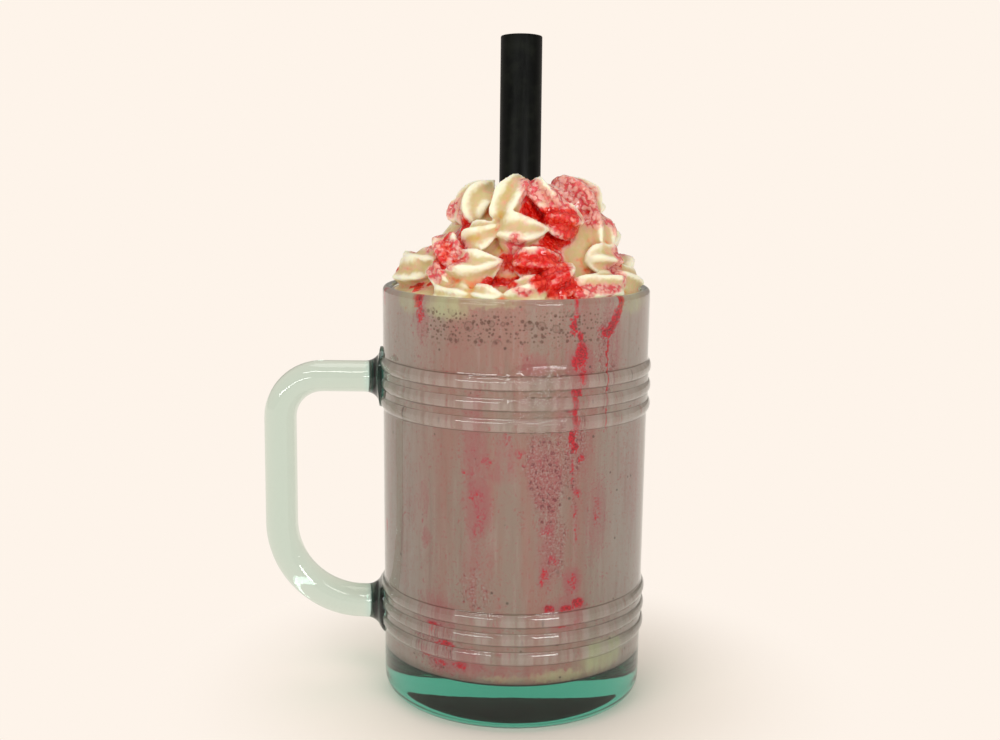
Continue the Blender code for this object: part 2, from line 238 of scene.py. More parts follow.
def arc(centre, radius, start, end, steps):
    """Points on an arc in the profile plane, its angles in degrees."""
    angles = [math.radians(start + (end - start) * i / steps) for i in range(steps + 1)]
    return [(centre[0] + radius * math.cos(a), centre[1] + radius * math.sin(a)) for a in angles]


def turned(profile, segments):
    """A bmesh turned about Z from a profile of (radius, height) points."""
    bm = bmesh.new()
    verts = [bm.verts.new((radius, 0.0, height)) for radius, height in profile]
    edges = [bm.edges.new(pair) for pair in zip(verts, verts[1:])]
    bmesh.ops.spin(
        bm, geom=verts + edges, cent=(0, 0, 0), axis=(0, 0, 1),
        angle=math.tau, steps=segments, use_merge=True,
    )
    return bm


def apply_modifiers(piece):
    """Keeps what the piece's modifiers make as its own mesh."""
    depsgraph = bpy.context.evaluated_depsgraph_get()
    mesh = bpy.data.meshes.new_from_object(piece.evaluated_get(depsgraph))
    piece.modifiers.clear()
    piece.data = mesh


def boolean(piece, operation, other, solver="EXACT"):
    """Joins or cuts the piece by another one, which is then removed."""
    modifier = piece.modifiers.new(operation.lower(), "BOOLEAN")
    modifier.operation = operation
    modifier.solver = solver
    modifier.object = other
    apply_modifiers(piece)
    bpy.data.objects.remove(other)


def outer_radius(z):
    """The mug's outside without its ribs: it narrows slightly to the base."""
    return BASE_RADIUS + (RIM_RADIUS - BASE_RADIUS) * z / MUG_HEIGHT


def inner_radius(z):
    """The mug's inside: the wall thickens slightly towards the floor."""
    return outer_radius(z) - FLOOR_WALL - (LIP_WALL - FLOOR_WALL) * z / MUG_HEIGHT


def rib_profile(top, pitch):
    """Points over one group of ribs, from the lowest rib to the highest, whose top edge is given."""
    lowest = top - (RIBS_IN_GROUP - 1) * pitch - RIB_WIDE
    points = [(outer_radius(lowest - away), lowest - away) for away in reversed(RIB_FEET)]
    for rib in reversed(range(RIBS_IN_GROUP)):
        for step in range(POINTS_IN_RIB + 1):
            part_way = (1 - math.cos(math.pi * step / POINTS_IN_RIB)) / 2
            z = top - rib * pitch - RIB_WIDE * (1 - part_way)
            bulge = abs(math.sin(math.pi * part_way)) ** RIB_FULLNESS
            points.append((outer_radius(z) + RIB_VALLEY + (RIB_HEIGHT - RIB_VALLEY) * bulge, z))
    points += [(outer_radius(top + away), top + away) for away in RIB_FEET]
    return points


def handle_stations():
    """Matrices that stretch and place a unit circle across the handle's rod, from root to root."""
    top_bend = (HANDLE_REACH - HANDLE_TOP_BEND, HANDLE_TOP_Z - HANDLE_TOP_BEND)
    bottom_bend = (HANDLE_REACH - HANDLE_BOTTOM_BEND, HANDLE_BOTTOM_Z + HANDLE_BOTTOM_BEND)
    route = [(x, HANDLE_TOP_Z) for x in (*HANDLE_ROOT_XS, HANDLE_CROSS_X)]
    route += arc(top_bend, HANDLE_TOP_BEND, 90, 0, 16)
    route += arc(bottom_bend, HANDLE_BOTTOM_BEND, 0, -84, 20)
    route += [(x, HANDLE_BOTTOM_Z) for x in reversed(HANDLE_ROOT_XS)]
    points = [Vector((-x, 0.0, z)) for x, z in route]
    last = len(points) - 1
    side = Vector((0, 1, 0))
    for i, point in enumerate(points):
        along = (points[min(i + 1, last)] - points[max(i - 1, 0)]).normalized()
        up = side.cross(along)
        off_wall = max(-point.x - outer_radius(point.z) - RIB_HEIGHT, 0.0)
        flare = 0.0
        if off_wall < HANDLE_FLARE:
            flare = HANDLE_FLARE - math.sqrt(HANDLE_FLARE**2 - (HANDLE_FLARE - off_wall) ** 2)
        thick = HANDLE_THICK_TOP + (HANDLE_THICK_BOTTOM - HANDLE_THICK_TOP) * i / last
        wide = HANDLE_WIDE / 2 + flare * HANDLE_SIDE_FLARE
        columns = (up * (thick / 2 + flare), side * wide, along)
        yield Matrix.Translation(point) @ Matrix(columns).transposed().to_4x4()


def swept(stations, sides):
    """A closed rod: a circle extruded from station to station."""
    stations = list(stations)
    bm = bmesh.new()
    ring = bmesh.ops.create_circle(bm, cap_ends=True, segments=sides, radius=1.0)["verts"]
    bmesh.ops.transform(bm, matrix=stations[0], verts=ring)
    edges = bm.edges[:]
    for old, new in zip(stations, stations[1:]):
        grown = bmesh.ops.extrude_edge_only(bm, edges=edges)["geom"]
        ring = [item for item in grown if isinstance(item, bmesh.types.BMVert)]
        new_ring = set(ring)
        edges = [
            item for item in grown
            if isinstance(item, bmesh.types.BMEdge) and new_ring.issuperset(item.verts)
        ]
        bmesh.ops.transform(bm, matrix=new @ old.inverted(), verts=ring)
    bmesh.ops.edgeloop_fill(bm, edges=edges)
    return bm


def near_root_shade(tree, place, middle):
    """How near a point is to a handle's root, where the glass is darkened by painted shade in a flat oval
    that stands on the wall.
    """
    off = add(tree, "ShaderNodeVectorMath", {0: place, 1: middle}, operation="SUBTRACT").outputs[0]
    across, up = ROOT_REACH
    scaled = add(tree, "ShaderNodeVectorMath", {0: off, 1: (1 / across, 0.0, 1 / up)}, operation="MULTIPLY")
    far = add(tree, "ShaderNodeVectorMath", {0: scaled.outputs[0]}, operation="LENGTH").outputs["Value"]
    return ease(tree, far, 1.15, 0.7)


green_glass, tree, shader = new_material("green_glass")
shader.inputs["Roughness"].default_value = 0.012
shader.inputs["IOR"].default_value = 1.5
shader.inputs["Transmission Weight"].default_value = 1.0
place = add(tree, "ShaderNodeTexCoord").outputs["Object"]
parts = add(tree, "ShaderNodeSeparateXYZ", {0: place}).outputs
facing = add(tree, "ShaderNodeLayerWeight", {"Blend": 0.5}).outputs["Facing"]
clear = tint(tree, ease(tree, parts["X"], -0.0425, -0.0465), GLASS_CLEAR, GLASS_HANDLE)
# Painted shade: the glass darkens towards its edges
colour = tint(tree, ease(tree, facing, 0.70, 0.97), clear, GLASS_EDGE_SHADE)
# Painted shade: near-black glass at the handle's roots
roots = calc(tree, "MAXIMUM", *(near_root_shade(tree, place, middle) for middle in ROOT_MIDDLES))
tree.links.new(tint(tree, roots, colour, GLASS_ROOT_SHADE), shader.inputs["Base Color"])

turn = calc(tree, "ARCTAN2", parts["X"], calc(tree, "MULTIPLY", parts["Y"], -1.0))
ripple = calc(tree, "MULTIPLY", *(ease(tree, turn, *fade) for fade in WRINKLED_TURNS))
for fade in WRINKLED_HEIGHTS:
    ripple = calc(tree, "MULTIPLY", ripple, ease(tree, parts["Z"], *fade))
waves = add(tree, "ShaderNodeTexNoise", {"Vector": place, "Scale": 170.0, "Detail": 2.0})
wrinkles = add(tree, "ShaderNodeTexNoise", {"Vector": place, "Scale": 700.0, "Detail": 2.0})
height = calc(tree, "MULTIPLY", calc(tree, "MULTIPLY", wrinkles.outputs["Fac"], ripple), 1.8)
height = calc(tree, "ADD", height, calc(tree, "MULTIPLY", waves.outputs["Fac"], 0.05))
bump = add(tree, "ShaderNodeBump", {"Height": height, "Strength": 1.0, "Distance": 0.0005})
tree.links.new(bump.outputs["Normal"], shader.inputs["Normal"])
path = add(tree, "ShaderNodeLightPath")
clear = add(tree, "ShaderNodeBsdfTransparent", {"Color": GLASS_SHADOW})
lit = add(
    tree, "ShaderNodeMixShader",
    {0: path.outputs["Is Shadow Ray"], 1: shader.outputs[0], 2: clear.outputs[0]},
)
tinted = add(tree, "ShaderNodeVolumeAbsorption", {"Color": TINT_COLOUR, "Density": TINT_DENSITY})
output = tree.nodes["Material Output"]
tree.links.new(lit.outputs[0], output.inputs["Surface"])
tree.links.new(tinted.outputs[0], output.inputs["Volume"])

lip_radius = LIP_WALL / 2
lip_centre = (RIM_RADIUS - lip_radius, MUG_HEIGHT - lip_radius)
base_corner = (BASE_RADIUS - BASE_CORNER, BASE_CORNER)
inner_corner = (inner_radius(INNER_FLOOR) - INNER_CORNER, INNER_FLOOR + INNER_CORNER)
profile = []
for step in range(PUNT_STEPS + 1):
    share = step / PUNT_STEPS
    profile.append((PUNT_RADIUS * share, PUNT_RISE * (1 - share**2)))
profile += arc(base_corner, BASE_CORNER, -90, 0, 12)
above_corner, under_lip = BASE_CORNER + SMOOTH_EDGE, lip_centre[1] - SMOOTH_EDGE
profile.append((outer_radius(above_corner), above_corner))
for group in reversed(RIB_GROUPS):
    profile += rib_profile(group["top"], group["pitch"])
profile.append((outer_radius(under_lip), under_lip))
profile += arc(lip_centre, lip_radius, 0, 180, 14)
profile.append((inner_radius(under_lip), under_lip))
profile += reversed(arc(inner_corner, INNER_CORNER, -90, 0, 8))
profile.append((0.0, INNER_FLOOR))
mug = settle(turned(profile, MUG_SEGMENTS), "glass_mug", green_glass)
boolean(mug, "UNION", settle(swept(handle_stations(), HANDLE_SIDES), "handle_rod", green_glass))
mug.data.shade_smooth()
mug.data.set_sharp_from_angle(angle=math.radians(50))
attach(mug, "root")
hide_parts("mug")


# The straw is a wide black drinking straw of thin plastic. It stands on the mug's inner floor and leans
# back. The tube is extruded, so it has faint lines along it, and its cut ends are slightly rounded.

STRAW_RADIUS = 0.00615
STRAW_WALL = 0.0005
STRAW_LEAN = math.radians(5.0)
STRAW_TOP_Z = 0.1978
STRAW_X = 0.0007
STRAW_CREAM_Z = 0.157
STRAW_Y_AT_CREAM = 0.004
STRAW_SEGMENTS = 72
GAP = 0.0003


def straw_frame():
    """Stands the straw, modelled up Z from its lower end, in its place in the mug."""
    foot_z = INNER_FLOOR + GAP + STRAW_RADIUS * math.sin(STRAW_LEAN)
    foot_y = STRAW_Y_AT_CREAM - (STRAW_CREAM_Z - foot_z) * math.tan(STRAW_LEAN)
    return Matrix.Translation((STRAW_X, foot_y, foot_z)) @ Matrix.Rotation(-STRAW_LEAN, 4, "X")


black_plastic, tree, shader = new_material("black_plastic")
shader.inputs["Specular IOR Level"].default_value = 0.12
place = add(tree, "ShaderNodeTexCoord").outputs["Object"]
drawn = add(tree, "ShaderNodeMapping", {"Vector": place, "Scale": (1.0, 1.0, 0.02)})
lines = add(tree, "ShaderNodeTexNoise", {"Vector": drawn.outputs[0], "Scale": 900.0, "Detail": 3.0})
dust = add(tree, "ShaderNodeTexNoise", {"Vector": place, "Scale": 260.0, "Detail": 6.0})
tree.links.new(
    tint(tree, ease(tree, dust.outputs["Fac"], 0.40, 0.75), screen(3, 5, 4), screen(16, 19, 14)),
    shader.inputs["Base Color"],
)
tree.links.new(ease(tree, lines.outputs["Fac"], 0.3, 0.7, 0.30, 0.46), shader.inputs["Roughness"])
bump = add(
    tree, "ShaderNodeBump", {"Height": lines.outputs["Fac"], "Strength": 0.15, "Distance": 0.0002},
)
tree.links.new(bump.outputs["Normal"], shader.inputs["Normal"])

straw_length = (STRAW_TOP_Z - straw_frame().translation.z) / math.cos(STRAW_LEAN)
middle = STRAW_RADIUS - STRAW_WALL / 2
section = arc((middle, straw_length - STRAW_WALL / 2), STRAW_WALL / 2, 0, 180, 6)
section += arc((middle, STRAW_WALL / 2), STRAW_WALL / 2, 180, 360, 6)
bm = turned([*section, section[0]], STRAW_SEGMENTS)
bmesh.ops.transform(bm, matrix=straw_frame(), verts=bm.verts[:])
straw = settle(bm, "drinking_straw", black_plastic)
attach(straw, "root")
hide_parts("straw")


# The milkshake fills the mug to its level, a thick brownish pink drink pressed against the glass, so
# what shows of it is its skin on the wall: soft smears, red runs of sauce that were poured down the
# inside, pink stains below them, and bubbles under the cream. A thin film of it climbs to the lip.

SHAKE_LEVEL = 0.1222
FILM_TOP = 0.1237
FILM_TIP = 0.0005
FILM_FOOT = 0.0016
INTO_WALL = 0.00005
SHAKE_SEGMENTS = 160
WALL_MM = 36.6

# Marks on the wall: angle from the front in degrees, towards the right, height in mm, half width and
# half height in mm, and how strong it is
RED_RUNS = (
    (25.6, 121.6, 0.8, 3.6, 0.6), (24.6, 117.6, 1.1, 2.6, 0.9), (27.4, 113.6, 0.8, 2.6, 0.9),
    (28.4, 109.4, 1.9, 3.4, 1.0), (26.4, 107.6, 1.9, 2.4, 0.9), (29.0, 103.4, 1.3, 2.8, 0.7),
    (26.2, 98.6, 1.7, 2.2, 0.9), (25.6, 94.6, 1.2, 2.8, 0.8), (26.0, 90.0, 1.3, 3.4, 0.7),
    (24.6, 86.0, 1.0, 2.6, 1.0), (26.2, 83.2, 1.0, 1.4, 1.0), (29.6, 80.0, 0.9, 1.0, 0.7),
    (25.4, 77.0, 0.6, 3.6, 0.5), (27.6, 70.0, 1.4, 1.2, 0.5), (27.2, 64.6, 0.6, 1.8, 0.5),
    (27.4, 58.0, 0.6, 3.4, 0.5), (26.6, 44.0, 1.3, 2.8, 0.6),
    (50.2, 123.4, 1.3, 2.0, 1.0), (49.0, 121.4, 1.3, 2.0, 1.0), (47.6, 119.6, 1.3, 2.0, 1.0),
    (46.0, 118.0, 1.3, 1.8, 1.0), (44.4, 116.6, 1.4, 1.6, 1.0), (43.0, 115.2, 1.5, 1.6, 1.0),
    (41.6, 114.8, 1.6, 1.2, 1.0), (42.0, 110.6, 0.5, 3.4, 0.9), (42.2, 103.0, 0.35, 7.0, 0.8),
    (42.0, 93.0, 0.3, 6.0, 0.6), (39.0, 115.6, 1.6, 1.6, 0.5),
    (-46.8, 122.8, 1.7, 1.8, 1.0), (-45.4, 119.6, 1.4, 2.4, 0.7), (-79.6, 121.7, 1.6, 2.2, 0.6),
    (-20.8, 76.0, 2.4, 1.8, 0.34), (-17.0, 69.4, 2.4, 2.8, 0.34), (-14.8, 65.0, 1.8, 2.6, 0.3),
    (-15.8, 60.4, 1.6, 3.0, 0.3), (-12.6, 79.6, 1.6, 1.4, 0.34), (-4.4, 87.0, 1.3, 2.2, 0.36),
    (2.4, 82.0, 1.4, 1.2, 0.36), (-78.0, 53.0, 1.0, 2.2, 0.8),
    (-38.1, 29.2, 2.6, 1.4, 0.8), (-31.4, 24.1, 3.0, 1.6, 0.8), (-23.8, 19.1, 2.2, 1.4, 0.7),
    (-42.0, 21.0, 2.4, 1.2, 0.6), (-34.0, 18.6, 2.0, 1.0, 0.6),
    (24.0, 36.2, 2.2, 1.1, 0.9), (15.5, 36.6, 1.5, 1.2, 0.9), (29.6, 37.4, 1.7, 1.6, 1.0),
    (21.0, 31.6, 2.4, 0.7, 0.7), (28.6, 32.0, 1.8, 0.8, 0.7), (13.4, 46.6, 1.4, 2.6, 0.5),
    (17.0, 51.0, 1.6, 1.8, 0.4), (13.6, 59.6, 2.0, 1.2, 0.4), (38.6, 64.0, 1.4, 4.0, 0.3),
    (150.0, 116.0, 1.2, 7.0, 0.9), (152.0, 100.0, 1.6, 8.0, 0.8), (205.0, 112.0, 1.0, 9.0, 0.9),
    (118.0, 118.0, 1.4, 4.0, 0.9), (260.0, 108.0, 0.9, 12.0, 0.7),
)
PINK_STAINS = (
    (26.5, 92.0, 6.0, 36.0, 0.55), (28.0, 106.0, 5.6, 8.0, 0.8), (27.0, 80.0, 5.6, 12.0, 0.65),
    (-18.1, 86.0, 4.4, 16.0, 0.7), (-17.4, 66.0, 4.4, 12.0, 0.85), (-17.0, 48.0, 4.8, 14.0, 0.65),
    (-4.0, 80.0, 4.6, 8.0, 0.6), (-9.0, 76.0, 3.4, 4.0, 0.7), (12.0, 76.0, 6.0, 12.0, 0.85),
    (15.0, 56.0, 5.0, 14.0, 0.7), (26.4, 44.0, 3.0, 5.0, 0.8), (24.0, 34.0, 7.0, 7.0, 0.8),
    (39.5, 62.0, 4.4, 14.0, 0.6), (64.0, 72.0, 7.0, 22.0, 0.45), (-55.0, 60.0, 4.0, 30.0, 0.4),
    (-44.0, 66.0, 2.4, 6.0, 0.6), (-42.0, 55.0, 2.6, 3.0, 0.7), (-72.0, 70.0, 5.0, 26.0, 0.35),
    (-36.0, 30.0, 9.0, 10.0, 0.75), (-28.0, 20.0, 10.0, 5.0, 0.9), (-8.0, 30.0, 7.0, 12.0, 0.35),
    (44.0, 112.0, 5.0, 12.0, 0.6), (-45.0, 118.0, 3.6, 6.0, 0.6), (0.0, 18.0, 12.0, 3.0, 0.5),
    (52.0, 30.0, 7.0, 12.0, 0.3), (8.0, 106.0, 4.0, 4.0, 0.7), (3.0, 107.0, 1.6, 3.0, 0.6),
    (36.0, 96.0, 4.0, 8.0, 0.5), (120.0, 88.0, 6.0, 34.0, 0.6), (150.0, 96.0, 5.0, 26.0, 0.7),
    (205.0, 80.0, 8.0, 30.0, 0.6), (240.0, 60.0, 6.0, 34.0, 0.5),
)
CREAM_PATCHES = (
    (-31.0, 121.6, 6.4, 3.2, 0.75), (-54.0, 122.0, 5.0, 3.0, 0.5), (-12.0, 123.4, 9.0, 1.2, 0.5),
    (60.0, 122.0, 7.0, 3.0, 0.5), (44.0, 19.5, 9.0, 5.0, 0.7), (22.0, 16.0, 9.0, 2.0, 0.6),
    (0.0, 15.8, 9.0, 1.2, 0.4), (110.0, 121.5, 14.0, 2.6, 0.8), (190.0, 121.8, 16.0, 2.4, 0.9),
    (260.0, 121.6, 12.0, 2.4, 0.7),
)
VEIN_ZONES = (
    (14.0, 76.0, 7.0, 13.0, 1.0), (17.0, 57.0, 5.0, 11.0, 0.9), (26.0, 82.0, 4.0, 16.0, 0.8),
    (-17.0, 42.0, 5.0, 7.0, 0.8), (-36.0, 24.0, 9.0, 7.0, 0.8), (40.0, 106.0, 4.0, 14.0, 0.6),
)

# Bubbles under the cream, one line a size class: how many there are to a millimetre, the share of them
# that shows, from 0 for dots to 1 for rings, and how dark they are
BUBBLE_SIZES = ((0.24, 0.45, 1.0, 0.5), (0.55, 0.50, 0.1, 0.8), (0.85, 0.50, 0.0, 0.75))

# Specks of sauce in the zones of veins: how many there are to a millimetre, their share, and how dark
SPECK_SIZES = ((0.60, 0.35, 0.8), (1.00, 0.50, 0.7))

# The edges of the ribs throw dark lines on the drink, painted into its colour as shadow, and the ribs'
# crests gather light into pale streaky bands, painted into its colour as light. The sight line slopes down
# inside the glass, so each line lies lower than its edge, by this many mm in the upper and in the lower
# group of ribs, and the lines at a rib's top and at its foot lie a little lower still
RIB_LINE_DROPS = (0.43, 0.87)
RIB_TOP_OFF = 0.25
RIB_FOOT_OFF = 0.1

# Where the drink's looks change, in mm: away from the front towards the sides, made paler by a painted
# reflection, up and down and across into the foamy band, and down to the drink's floor, darkened by painted
# shade
SIDE_REFLECTION_FADE = (17.0, 36.0)
FOAM_FOOT = (110.5, 114.0)
FOAM_TOP = (122.4, 120.0)
FOAM_ENDS = (34.0, 20.0)
FLOOR_SHADE_FADE = (14.3, 13.5)


def strongest(tree, masks):
    """The largest of several masks at each point."""
    most = masks[0]
    for mask in masks[1:]:
        most = calc(tree, "MAXIMUM", most, mask)
    return most


def product(tree, *masks):
    """Where all the masks hold."""
    most = masks[0]
    for mask in masks[1:]:
        most = calc(tree, "MULTIPLY", most, mask)
    return most


def placed(tree, group, **inputs):
    """The result of a node group with these values or sockets at its inputs."""
    node = tree.nodes.new("ShaderNodeGroup")
    node.node_tree = group
    for name, value in inputs.items():
        socket = node.inputs[name.replace("_", " ").title()]
        if isinstance(value, bpy.types.NodeSocket):
            tree.links.new(value, socket)
        else:
            socket.default_value = value
    return node.outputs[0]


def new_group(name, inputs, output):
    """A shader node group with number inputs and one number output, and its input sockets."""
    group = bpy.data.node_groups.new(name, "ShaderNodeTree")
    for title in inputs:
        group.interface.new_socket(title, in_out="INPUT", socket_type="NodeSocketFloat")
    group.interface.new_socket(output, in_out="OUTPUT", socket_type="NodeSocketFloat")
    return group, add(group, "NodeGroupInput").outputs


def wall_mark_group():
    """The mask of one soft oval mark on the wall, its place and size in millimetres."""
    sizes = ("Around", "Height", "At", "Level", "Half Width", "Half Height", "Strength")
    group, given = new_group("wall mark", sizes, "Mask")
    across = calc(group, "SUBTRACT", given["Around"], given["At"])
    across = calc(group, "DIVIDE", across, given["Half Width"])
    upward = calc(group, "SUBTRACT", given["Height"], given["Level"])
    upward = calc(group, "DIVIDE", upward, given["Half Height"])
    squares = calc(group, "ADD", calc(group, "POWER", across, 2.0), calc(group, "POWER", upward, 2.0))
    mask = product(group, ease(group, squares, 2.0, 0.0), given["Strength"])
    add(group, "NodeGroupOutput", {"Mask": mask})
    return group


def bubble_group():
    """Round bubbles on the wall, of one size class: rings where Hollow is 1, and dots where it is 0."""
    group, given = new_group("bubbles", ("Around", "Height", "Each Mm", "Share", "Hollow"), "Film")
    flat = add(group, "ShaderNodeCombineXYZ", {0: given["Around"], 1: given["Height"]}).outputs[0]
    cells = add(
        group, "ShaderNodeTexVoronoi", {"Vector": flat, "Scale": given["Each Mm"], "Randomness": 0.85},
        voronoi_dimensions="2D",
    )
    draw = add(group, "ShaderNodeSeparateColor", {0: cells.outputs["Color"]}).outputs
    radius = ease(group, draw["Red"], 0.0, 1.0, 0.12, 0.30)
    off = calc(group, "SUBTRACT", cells.outputs["Distance"], radius)
    disc = ease(group, off, 0.05, -0.06)
    ring = ease(group, calc(group, "ABSOLUTE", off), 0.09, 0.01)
    faint = calc(group, "SUBTRACT", 1.0, product(group, given["Hollow"], 0.65))
    film = calc(group, "MAXIMUM", product(group, ring, given["Hollow"]), product(group, disc, faint))
    there = calc(group, "LESS_THAN", draw["Green"], given["Share"])
    add(group, "NodeGroupOutput", {"Film": product(group, film, there)})
    return group


def marked(tree, group, around, height, marks):
    """The strongest of all the marks in a list, anywhere on the wall."""
    return strongest(tree, [
        placed(
            tree, group, around=around, height=height, at=math.radians(angle) * WALL_MM, level=level,
            half_width=half_width, half_height=half_height, strength=strength,
        )
        for angle, level, half_width, half_height, strength in marks
    ])


def grain(tree, place, wave, stretch=1.0, detail=2.0, shift=0.0):
    """Noise whose waves are this many millimetres wide, drawn out upwards by the stretch."""
    scale = (1.0, 1.0, 1.0 / stretch)
    moved = add(tree, "ShaderNodeMapping", {"Vector": place, "Scale": scale, "Location": (shift,) * 3})
    waves = add(
        tree, "ShaderNodeTexNoise",
        {"Vector": moved.outputs[0], "Scale": 1.0 / wave, "Detail": detail},
    )
    return waves.outputs["Fac"]


def nudged(tree, value, waves, most):
    """A value pushed up or down by noise, by this much at most."""
    push = calc(tree, "MULTIPLY", calc(tree, "SUBTRACT", waves, 0.5), 2 * most)
    return calc(tree, "ADD", value, push)


def stripe(tree, height, level, half, soft):
    """A level band round the wall, this many millimetres to either side of a height."""
    off = calc(tree, "ABSOLUTE", calc(tree, "SUBTRACT", height, level))
    return ease(tree, off, half + soft, half - soft)


SHAKE_PINK = screen(162, 108, 99)
SHAKE_GREY = screen(154, 120, 110)
# Painted reflection: the paler colour of the drink at the sides
SHAKE_SIDE_REFLECTION = screen(174, 144, 138)
SHAKE_PALE = screen(180, 154, 148)
SHAKE_DULL = screen(130, 94, 84)
STAIN = screen(170, 78, 84)
VEIN = screen(112, 34, 42)
RUN = screen(208, 8, 34)
RUN_DARK = screen(130, 4, 22)
RUN_EDGE = screen(176, 62, 74)
WALL_CREAM = screen(192, 182, 138)
RIB_SHADOW = screen(74, 44, 36)
# Painted light on the drink over the ribs' crests
RIB_CREST_LIGHT = screen(188, 152, 148)
BUBBLE = screen(98, 54, 44)
SPECK = screen(60, 30, 28)
# Painted shade at the drink's floor
FLOOR_SHADE = screen(30, 6, 9)

milkshake, tree, shader = new_material("milkshake")
shader.inputs["Specular IOR Level"].default_value = 0.1
place = add(tree, "ShaderNodeTexCoord").outputs["Object"]
millimetres = add(tree, "ShaderNodeVectorMath", {0: place, 3: 1000.0}, operation="SCALE").outputs[0]
parts = add(tree, "ShaderNodeSeparateXYZ", {0: millimetres}).outputs
turn = calc(tree, "ARCTAN2", parts["X"], calc(tree, "MULTIPLY", parts["Y"], -1.0))
around = calc(tree, "MULTIPLY", turn, WALL_MM)
height = parts["Z"]

broad = grain(tree, millimetres, 9.0, 3.0)
fine = grain(tree, millimetres, 1.3, 1.4, 4.0, 7.0)
crumbs = grain(tree, millimetres, 0.55, 1.0, 3.0, 3.0)
columns = grain(tree, millimetres, 5.5, 14.0, 3.0, 11.0)
smears = grain(tree, millimetres, 2.2, 7.0, 4.0, 23.0)
streaks = grain(tree, millimetres, 1.7, 14.0, 3.0, 31.0)
wobbly = nudged(tree, nudged(tree, around, broad, 3.0), fine, 1.6)
uneven = nudged(tree, height, fine, 2.0)
run_around = nudged(tree, around, fine, 1.4)
run_height = nudged(tree, height, crumbs, 1.4)

colour = tint(tree, ease(tree, columns, 0.36, 0.64), SHAKE_GREY, SHAKE_PINK)
# Painted reflection: the drink turns paler away from the front
side_reflection = ease(tree, calc(tree, "ABSOLUTE", wobbly), *SIDE_REFLECTION_FADE, 0.0, 0.8)
colour = tint(tree, side_reflection, colour, SHAKE_SIDE_REFLECTION)
colour = tint(tree, ease(tree, streaks, 0.52, 0.78, 0.0, 0.3), colour, SHAKE_PALE)
colour = tint(tree, ease(tree, streaks, 0.48, 0.26, 0.0, 0.3), colour, SHAKE_DULL)

group = wall_mark_group()
stains = nudged(tree, marked(tree, group, wobbly, uneven, PINK_STAINS), smears, 0.5)
stains = nudged(tree, stains, crumbs, 0.35)
colour = tint(tree, ease(tree, stains, 0.15, 1.05, 0.0, 0.72), colour, STAIN)

bubbles = bubble_group()
zones = nudged(tree, marked(tree, group, wobbly, uneven, VEIN_ZONES), smears, 0.9)
inside = ease(tree, nudged(tree, zones, fine, 0.8), 0.20, 0.95)
curly = grain(tree, millimetres, 1.2, 1.0, 2.0, 51.0)
off_line = calc(tree, "ABSOLUTE", calc(tree, "SUBTRACT", curly, 0.5))
lines = product(tree, ease(tree, off_line, 0.030, 0.006), ease(tree, crumbs, 0.44, 0.56))
colour = tint(tree, product(tree, inside, ease(tree, crumbs, 0.48, 0.36), 0.4), colour, SHAKE_PALE)
colour = tint(tree, product(tree, inside, lines, 0.7), colour, VEIN)
for per_mm, share, strength in SPECK_SIZES:
    specks = placed(
        tree, bubbles, around=run_around, height=run_height, each_mm=per_mm, share=share, hollow=0.0,
    )
    colour = tint(tree, product(tree, inside, specks, strength), colour, VEIN)

runs = nudged(tree, marked(tree, group, run_around, run_height, RED_RUNS), crumbs, 0.9)
runs = nudged(tree, runs, fine, 0.4)
colour = tint(tree, ease(tree, runs, 0.06, 0.55, 0.0, 0.7), colour, RUN_EDGE)
red = tint(tree, ease(tree, crumbs, 0.42, 0.56), RUN_DARK, RUN)
colour = tint(tree, ease(tree, runs, 0.44, 0.76), colour, red)

creamy = nudged(tree, marked(tree, group, wobbly, uneven, CREAM_PATCHES), smears, 0.3)
colour = tint(tree, ease(tree, creamy, 0.05, 1.05, 0.0, 0.75), colour, WALL_CREAM)

aside = calc(tree, "ABSOLUTE", nudged(tree, around, broad, 9.0))
foamy = product(
    tree, ease(tree, uneven, *FOAM_FOOT), ease(tree, uneven, *FOAM_TOP), ease(tree, aside, *FOAM_ENDS),
)
for per_mm, share, hollow, strength in BUBBLE_SIZES:
    films = placed(tree, bubbles, around=around, height=height, each_mm=per_mm, share=share, hollow=hollow)
    colour = tint(tree, product(tree, films, foamy, strength), colour, BUBBLE)
flecks = placed(tree, bubbles, around=around, height=height, each_mm=0.70, share=0.015, hollow=0.0)
colour = tint(tree, product(tree, flecks, 0.6), colour, SPECK)

wavy = nudged(tree, height, broad, 0.3)
tops, feet, crest_light_bands = [], [], []
for group, drop in zip(RIB_GROUPS, RIB_LINE_DROPS):
    for i in range(RIBS_IN_GROUP):
        edge = (group["top"] - i * group["pitch"]) * 1000 - drop
        top = edge - RIB_TOP_OFF
        foot = edge - RIB_WIDE * 1000 - RIB_FOOT_OFF
        tops.append(stripe(tree, wavy, top, 0.36, 0.18))
        feet.append(stripe(tree, wavy, foot, 0.22, 0.20))
        crest_light_bands.append(stripe(tree, wavy, (top + foot) / 2 - 0.3, (top - foot) / 2 - 0.5, 0.7))
# Painted light: pale streaky bands over the ribs' crests. Painted shadow: dark lines at the ribs' tops and
# feet
crest_light_bars = ease(tree, grain(tree, millimetres, 2.4, 20.0, 2.0, 43.0), 0.40, 0.62, 0.15, 0.6)
colour = tint(tree, product(tree, strongest(tree, crest_light_bands), crest_light_bars), colour, RIB_CREST_LIGHT)
colour = tint(tree, product(tree, strongest(tree, feet), 0.55), colour, RIB_SHADOW)
colour = tint(tree, product(tree, strongest(tree, tops), 0.55), colour, RIB_SHADOW)
# Painted shade: the drink turns near-black at its floor
colour = tint(tree, ease(tree, height, *FLOOR_SHADE_FADE), colour, FLOOR_SHADE)

tree.links.new(colour, shader.inputs["Base Color"])
tree.links.new(ease(tree, smears, 0.3, 0.7, 0.35, 0.6), shader.inputs["Roughness"])

